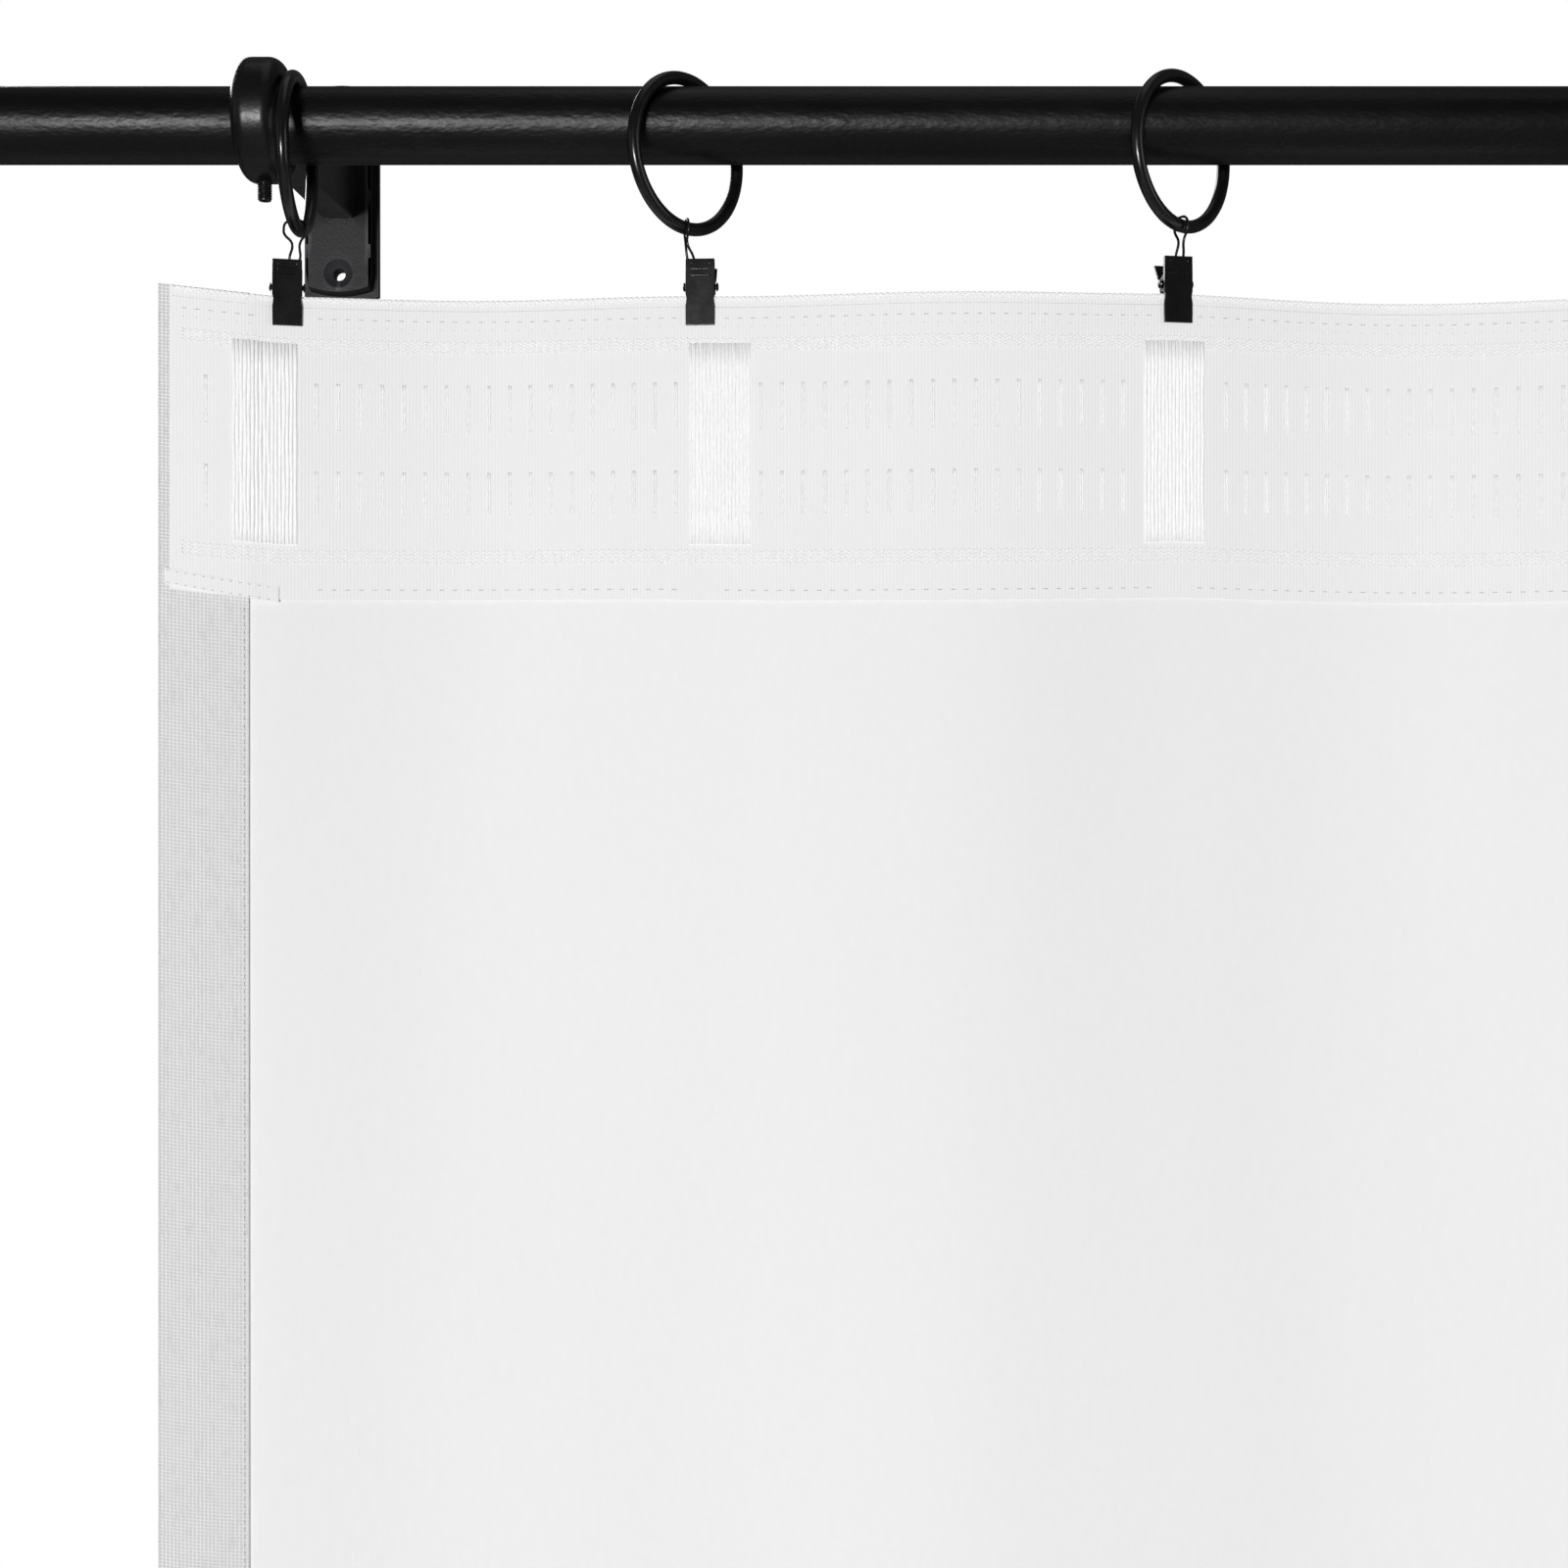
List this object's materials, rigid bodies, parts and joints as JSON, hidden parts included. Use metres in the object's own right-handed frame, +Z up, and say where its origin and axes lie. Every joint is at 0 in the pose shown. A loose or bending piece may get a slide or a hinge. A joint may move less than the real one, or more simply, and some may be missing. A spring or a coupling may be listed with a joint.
{
  "type": "window curtain on a rod",
  "caption": "Off-white window curtain with a woven heading tape, hung by black clip rings from a telescoping black rod on two wall brackets.",
  "frame": {"origin": "centre of the left wall plate's back face, on the wall", "axes": "+X along the rod to the right, +Y into the wall, +Z up"},
  "size_m": [1.5706, 0.1571, 2.2473],
  "materials": {
    "powder_coat": "satin black powder coat with a fine orange-peel grain",
    "cast_black": "painted casting, satin black",
    "black_steel": "smooth black coated steel",
    "nylon": "moulded black nylon",
    "curtain_cloth": "plain woven off-white cloth with slubs",
    "heading_tape": "woven white heading tape"
  },
  "bodies": {
    "wall_and_rod": {"wall_plate_left": "cast_black", "bracket_arm_left": "cast_black", "rod_outer_tube": "powder_coat", "finial_plug_left": "nylon"},
    "left_finial": {"finial_left": "powder_coat"},
    "left_screw": {"set_screw_left": "black_steel"},
    "right_end": {"rod_inner_tube": "powder_coat", "finial_plug_right": "nylon", "wall_plate_right": "cast_black", "bracket_arm_right": "cast_black"},
    "right_finial": {"finial_right": "powder_coat"},
    "right_screw": {"set_screw_right": "black_steel"},
    "curtain": {"curtain_panel": "curtain_cloth", "heading_tape": "heading_tape", "ring_1": "black_steel", "bail_1": "black_steel", "front_jaw_1": "black_steel", "clip_pin_1": "black_steel"},
    "rear_jaw_1": {"rear_jaw_1": "black_steel"},
    "clip_2": {"bail_2": "black_steel", "front_jaw_2": "black_steel", "clip_pin_2": "black_steel"},
    "ring_2": {"ring_2": "black_steel"},
    "rear_jaw_2": {"rear_jaw_2": "black_steel"},
    "clip_3": {"bail_3": "black_steel", "front_jaw_3": "black_steel", "clip_pin_3": "black_steel"},
    "ring_3": {"ring_3": "black_steel"},
    "rear_jaw_3": {"rear_jaw_3": "black_steel"},
    "clip_4": {"bail_4": "black_steel", "front_jaw_4": "black_steel", "clip_pin_4": "black_steel"},
    "ring_4": {"ring_4": "black_steel"},
    "rear_jaw_4": {"rear_jaw_4": "black_steel"},
    "clip_5": {"bail_5": "black_steel", "front_jaw_5": "black_steel", "clip_pin_5": "black_steel"},
    "ring_5": {"ring_5": "black_steel"},
    "rear_jaw_5": {"rear_jaw_5": "black_steel"},
    "clip_6": {"bail_6": "black_steel", "front_jaw_6": "black_steel", "clip_pin_6": "black_steel"},
    "ring_6": {"ring_6": "black_steel"},
    "rear_jaw_6": {"rear_jaw_6": "black_steel"},
    "clip_7": {"bail_7": "black_steel", "front_jaw_7": "black_steel", "clip_pin_7": "black_steel"},
    "ring_7": {"ring_7": "black_steel"},
    "rear_jaw_7": {"rear_jaw_7": "black_steel"},
    "clip_8": {"bail_8": "black_steel", "front_jaw_8": "black_steel", "clip_pin_8": "black_steel"},
    "ring_8": {"ring_8": "black_steel"},
    "rear_jaw_8": {"rear_jaw_8": "black_steel"},
    "clip_9": {"bail_9": "black_steel", "front_jaw_9": "black_steel", "clip_pin_9": "black_steel"},
    "ring_9": {"ring_9": "black_steel"},
    "rear_jaw_9": {"rear_jaw_9": "black_steel"}
  },
  "joints": [
    {"name": "left_finial_turn", "type": "hinge", "parent": "wall_and_rod", "child": "left_finial", "pos_m": [-0.115, -0.13, -0.01125], "axis": [-1, 0, 0], "continuous": true},
    {"name": "left_screw_turn", "type": "hinge", "parent": "wall_and_rod", "child": "left_screw", "pos_m": [0, -0.13, -0.03395], "axis": [0, 0, 1], "continuous": true},
    {"name": "rod_extend", "type": "slide", "parent": "wall_and_rod", "child": "right_end", "axis": [1, 0, 0], "range_m": [0, 0.3]},
    {"name": "right_finial_turn", "type": "hinge", "parent": "right_end", "child": "right_finial", "pos_m": [1.365, -0.13, -0.01125], "axis": [1, 0, 0], "continuous": true},
    {"name": "right_screw_turn", "type": "hinge", "parent": "right_end", "child": "right_screw", "pos_m": [1.247, -0.13, -0.03235], "axis": [0, 0, 1], "continuous": true},
    {"name": "curtain_swing", "type": "hinge", "parent": "wall_and_rod", "child": "curtain", "pos_m": [0, -0.13, -0.01125], "axis": [-1, 0, 0], "range_deg": [-2.5, 25]},
    {"name": "curtain_draw", "type": "slide", "parent": "curtain", "child": "clip_9", "axis": [1, 0, 0], "range_m": [-0.919, 0], "deforming": ["curtain_panel", "heading_tape"]},
    {"name": "clip_1_open", "type": "hinge", "parent": "curtain", "child": "rear_jaw_1", "pos_m": [0.0075, -0.13, -0.06545], "axis": [0.9781, 0.2079, 0], "range_deg": [0, 25], "stiffness_Nm_per_rad": 0.005, "springref_deg": -20.05},
    {"name": "clip_2_slide", "type": "slide", "parent": "curtain", "child": "clip_2", "axis": [1, 0, 0], "range_m": [-0.107, 0]},
    {"name": "clip_2_open", "type": "hinge", "parent": "clip_2", "child": "rear_jaw_2", "pos_m": [0.1461, -0.13, -0.06532], "axis": [0.9986, -0.0523, 0], "range_deg": [0, 25], "stiffness_Nm_per_rad": 0.005, "springref_deg": -20.05},
    {"name": "ring_2_turn", "type": "hinge", "parent": "clip_2", "child": "ring_2", "pos_m": [0.1413, -0.13, -0.02072], "axis": [0, 0, 1], "range_deg": [0, 82.3]},
    {"name": "clip_3_slide", "type": "slide", "parent": "curtain", "child": "clip_3", "axis": [1, 0, 0], "range_m": [-0.228, 0]},
    {"name": "clip_3_open", "type": "hinge", "parent": "clip_3", "child": "rear_jaw_3", "pos_m": [0.3053, -0.13, -0.06446], "axis": [0.9877, 0.1564, 0], "range_deg": [0, 25], "stiffness_Nm_per_rad": 0.005, "springref_deg": -20.05},
    {"name": "ring_3_turn", "type": "hinge", "parent": "clip_3", "child": "ring_3", "pos_m": [0.3071, -0.13, -0.01986], "axis": [0, 0, 1], "range_deg": [0, 90.6]},
    {"name": "clip_4_slide", "type": "slide", "parent": "curtain", "child": "clip_4", "axis": [1, 0, 0], "range_m": [-0.345, 0]},
    {"name": "clip_4_open", "type": "hinge", "parent": "clip_4", "child": "rear_jaw_4", "pos_m": [0.4585, -0.13, -0.06545], "axis": [0.9903, -0.1392, 0], "range_deg": [0, 25], "stiffness_Nm_per_rad": 0.005, "springref_deg": -20.05},
    {"name": "ring_4_turn", "type": "hinge", "parent": "clip_4", "child": "ring_4", "pos_m": [0.4595, -0.13, -0.02085], "axis": [0, 0, 1], "range_deg": [-1.5, 74.5]},
    {"name": "clip_5_slide", "type": "slide", "parent": "curtain", "child": "clip_5", "axis": [1, 0, 0], "range_m": [-0.456, 0]},
    {"name": "clip_5_open", "type": "hinge", "parent": "clip_5", "child": "rear_jaw_5", "pos_m": [0.6045, -0.13, -0.06545], "axis": [0.9945, 0.1045, 0], "range_deg": [0, 25], "stiffness_Nm_per_rad": 0.005, "springref_deg": -20.05},
    {"name": "ring_5_turn", "type": "hinge", "parent": "clip_5", "child": "ring_5", "pos_m": [0.6025, -0.13, -0.02085], "axis": [0, 0, 1], "range_deg": [-9.4, 66.6]},
    {"name": "clip_6_slide", "type": "slide", "parent": "curtain", "child": "clip_6", "axis": [1, 0, 0], "range_m": [-0.577, 0]},
    {"name": "clip_6_open", "type": "hinge", "parent": "clip_6", "child": "rear_jaw_6", "pos_m": [0.7635, -0.13, -0.06511], "axis": [0.9848, -0.1736, 0], "range_deg": [0, 25], "stiffness_Nm_per_rad": 0.005, "springref_deg": -20.05},
    {"name": "ring_6_turn", "type": "hinge", "parent": "clip_6", "child": "ring_6", "pos_m": [0.765, -0.13, -0.02051], "axis": [0, 0, 1], "range_deg": [0, 85.4]},
    {"name": "clip_7_slide", "type": "slide", "parent": "curtain", "child": "clip_7", "axis": [1, 0, 0], "range_m": [-0.689, 0]},
    {"name": "clip_7_open", "type": "hinge", "parent": "clip_7", "child": "rear_jaw_7", "pos_m": [0.9105, -0.13, -0.06545], "axis": [0.9903, 0.1392, 0], "range_deg": [0, 25], "stiffness_Nm_per_rad": 0.005, "springref_deg": -20.05},
    {"name": "ring_7_turn", "type": "hinge", "parent": "clip_7", "child": "ring_7", "pos_m": [0.9095, -0.13, -0.02085], "axis": [0, 0, 1], "range_deg": [-4.7, 71.3]},
    {"name": "clip_8_slide", "type": "slide", "parent": "curtain", "child": "clip_8", "axis": [1, 0, 0], "range_m": [-0.809, 0]},
    {"name": "clip_8_open", "type": "hinge", "parent": "clip_8", "child": "rear_jaw_8", "pos_m": [1.0685, -0.13, -0.06543], "axis": [0.9945, -0.1045, 0], "range_deg": [0, 25], "stiffness_Nm_per_rad": 0.005, "springref_deg": -20.05},
    {"name": "ring_8_turn", "type": "hinge", "parent": "clip_8", "child": "ring_8", "pos_m": [1.0705, -0.13, -0.02083], "axis": [0, 0, 1], "range_deg": [0, 79.2]},
    {"name": "clip_9_open", "type": "hinge", "parent": "clip_9", "child": "rear_jaw_9", "pos_m": [1.2162, -0.13, -0.06545], "axis": [0.9976, 0.0698, 0], "range_deg": [0, 25], "stiffness_Nm_per_rad": 0.005, "springref_deg": -20.05},
    {"name": "ring_9_turn", "type": "hinge", "parent": "clip_9", "child": "ring_9", "pos_m": [1.2152, -0.13, -0.02085], "axis": [0, 0, 1], "range_deg": [-14.6, 61.4]}
  ],
  "couplings": [
    {"joint": "clip_2_slide", "follows": "curtain_draw", "ratio": 0.11467},
    {"joint": "clip_3_slide", "follows": "curtain_draw", "ratio": 0.24638},
    {"joint": "clip_4_slide", "follows": "curtain_draw", "ratio": 0.37313},
    {"joint": "clip_5_slide", "follows": "curtain_draw", "ratio": 0.49392},
    {"joint": "clip_6_slide", "follows": "curtain_draw", "ratio": 0.62547},
    {"joint": "clip_7_slide", "follows": "curtain_draw", "ratio": 0.74708},
    {"joint": "clip_8_slide", "follows": "curtain_draw", "ratio": 0.8778}
  ]
}
